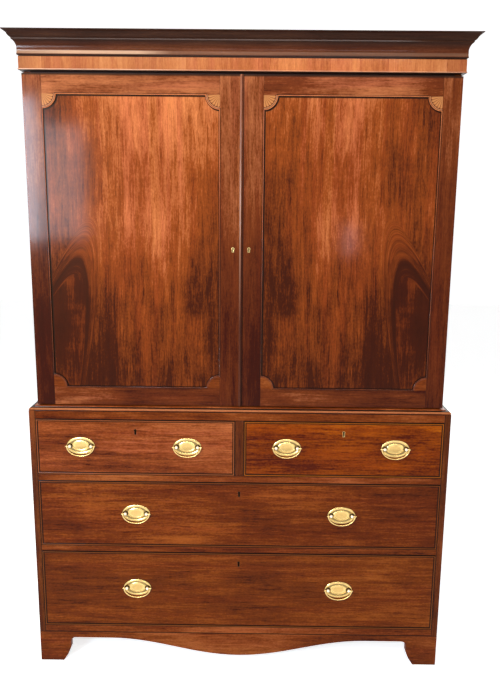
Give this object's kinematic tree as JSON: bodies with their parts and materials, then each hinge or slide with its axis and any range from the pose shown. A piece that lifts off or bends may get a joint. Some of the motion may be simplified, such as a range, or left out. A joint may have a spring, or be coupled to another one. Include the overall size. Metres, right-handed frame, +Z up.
{
  "type": "linen press",
  "caption": "Two-part mahogany linen press: panelled doors over linen trays, drawers with oval brass handles, moulded cornice, bracket feet.",
  "frame": {"origin": "on the floor, under the middle of the bounding box", "axes": "+Z up, the doors and drawers face -Y, +X to the right of someone who looks at the doors"},
  "size_m": [1.356, 0.578, 1.986],
  "materials": {
    "mahogany": "polished mahogany with straight grain",
    "figured_mahogany": "polished crotch-figured mahogany",
    "dark_mahogany": "polished dark mahogany",
    "cross_banding": "polished cross-banded mahogany",
    "secondary_wood": "plain unpolished oak and pine",
    "satinwood": "polished satinwood inlay",
    "brass": "polished brass",
    "iron": "dull dark iron"
  },
  "bodies": {
    "carcass": {"base_front": "mahogany", "base_side_left": "mahogany", "lower_side_left": "mahogany", "upper_side_left": "mahogany", "hinge_left_lower_fixed_leaf": "brass", "hinge_left_upper_fixed_leaf": "brass", "base_side_right": "mahogany", "lower_side_right": "mahogany", "upper_side_right": "mahogany", "hinge_right_lower_fixed_leaf": "brass", "hinge_right_upper_fixed_leaf": "brass", "lower_bottom_board": "mahogany", "lower_dust_board": "mahogany", "upper_dust_board": "mahogany", "lower_top_board": "mahogany", "drawer_divider": "mahogany", "waist_moulding": "mahogany", "lower_back": "secondary_wood", "upper_bottom_board": "secondary_wood", "upper_top_board": "secondary_wood", "upper_back": "secondary_wood", "linen_tray_1": "secondary_wood", "linen_tray_2": "secondary_wood", "linen_tray_3": "secondary_wood", "linen_tray_4": "secondary_wood", "frieze": "cross_banding", "cornice": "dark_mahogany"},
    "door_left": {"door_left_frame": "mahogany", "door_left_panel": "figured_mahogany", "door_astragal": "mahogany", "hinge_left_lower_moving_leaf": "brass", "hinge_left_upper_moving_leaf": "brass"},
    "door_right": {"door_right_frame": "mahogany", "door_right_panel": "figured_mahogany", "hinge_right_lower_moving_leaf": "brass", "hinge_right_upper_moving_leaf": "brass"},
    "drawer_top_left": {"drawer_top_left_front": "mahogany", "drawer_top_left_box": "secondary_wood", "handle_top_left_left_plate": "brass", "handle_top_left_right_plate": "brass"},
    "handle_top_left_left_bail": {"handle_top_left_left_bail": "brass"},
    "handle_top_left_right_bail": {"handle_top_left_right_bail": "brass"},
    "drawer_top_right": {"drawer_top_right_front": "mahogany", "drawer_top_right_box": "secondary_wood", "handle_top_right_left_plate": "brass", "handle_top_right_right_plate": "brass"},
    "handle_top_right_left_bail": {"handle_top_right_left_bail": "brass"},
    "handle_top_right_right_bail": {"handle_top_right_right_bail": "brass"},
    "drawer_middle": {"drawer_middle_front": "mahogany", "drawer_middle_box": "secondary_wood", "handle_middle_left_plate": "brass", "handle_middle_right_plate": "brass"},
    "handle_middle_left_bail": {"handle_middle_left_bail": "brass"},
    "handle_middle_right_bail": {"handle_middle_right_bail": "brass"},
    "drawer_bottom": {"drawer_bottom_front": "mahogany", "drawer_bottom_box": "secondary_wood", "handle_bottom_left_plate": "brass", "handle_bottom_right_plate": "brass"},
    "handle_bottom_left_bail": {"handle_bottom_left_bail": "brass"},
    "handle_bottom_right_bail": {"handle_bottom_right_bail": "brass"}
  },
  "joints": [
    {"name": "door_left_hinge", "type": "hinge", "parent": "carcass", "child": "door_left", "pos_m": [-0.638, -0.2257, 0.8845], "axis": [0, 0, -1], "range_deg": [0, 170]},
    {"name": "door_right_hinge", "type": "hinge", "parent": "carcass", "child": "door_right", "pos_m": [0.638, -0.2257, 0.8845], "axis": [0, 0, 1], "range_deg": [0, 170]},
    {"name": "drawer_top_left_slide", "type": "slide", "parent": "carcass", "child": "drawer_top_left", "axis": [0, -1, 0], "range_m": [0, 0.42]},
    {"name": "handle_top_left_left_swing", "type": "hinge", "parent": "drawer_top_left", "child": "handle_top_left_left_bail", "pos_m": [-0.5002, -0.2796, 0.75602], "axis": [-1, 0, 0], "range_deg": [-6, 110]},
    {"name": "handle_top_left_right_swing", "type": "hinge", "parent": "drawer_top_left", "child": "handle_top_left_right_bail", "pos_m": [-0.16431, -0.2796, 0.75602], "axis": [-1, 0, 0], "range_deg": [-6, 110]},
    {"name": "drawer_top_right_slide", "type": "slide", "parent": "carcass", "child": "drawer_top_right", "axis": [0, -1, 0], "range_m": [0, 0.42]},
    {"name": "handle_top_right_left_swing", "type": "hinge", "parent": "drawer_top_right", "child": "handle_top_right_left_bail", "pos_m": [0.14898, -0.2796, 0.75711], "axis": [-1, 0, 0], "range_deg": [-6, 110]},
    {"name": "handle_top_right_right_swing", "type": "hinge", "parent": "drawer_top_right", "child": "handle_top_right_right_bail", "pos_m": [0.49019, -0.2796, 0.75711], "axis": [-1, 0, 0], "range_deg": [-6, 110]},
    {"name": "drawer_middle_slide", "type": "slide", "parent": "carcass", "child": "drawer_middle", "axis": [0, -1, 0], "range_m": [0, 0.42]},
    {"name": "handle_middle_left_swing", "type": "hinge", "parent": "drawer_middle", "child": "handle_middle_left_bail", "pos_m": [-0.33024, -0.2796, 0.53104], "axis": [-1, 0, 0], "range_deg": [-6, 110]},
    {"name": "handle_middle_right_swing", "type": "hinge", "parent": "drawer_middle", "child": "handle_middle_right_bail", "pos_m": [0.32896, -0.2796, 0.53104], "axis": [-1, 0, 0], "range_deg": [-6, 110]},
    {"name": "drawer_bottom_slide", "type": "slide", "parent": "carcass", "child": "drawer_bottom", "axis": [0, -1, 0], "range_m": [0, 0.42]},
    {"name": "handle_bottom_left_swing", "type": "hinge", "parent": "drawer_bottom", "child": "handle_bottom_left_bail", "pos_m": [-0.33152, -0.2796, 0.27116], "axis": [-1, 0, 0], "range_deg": [-6, 110]},
    {"name": "handle_bottom_right_swing", "type": "hinge", "parent": "drawer_bottom", "child": "handle_bottom_right_bail", "pos_m": [0.32704, -0.2796, 0.27116], "axis": [-1, 0, 0], "range_deg": [-6, 110]}
  ]
}
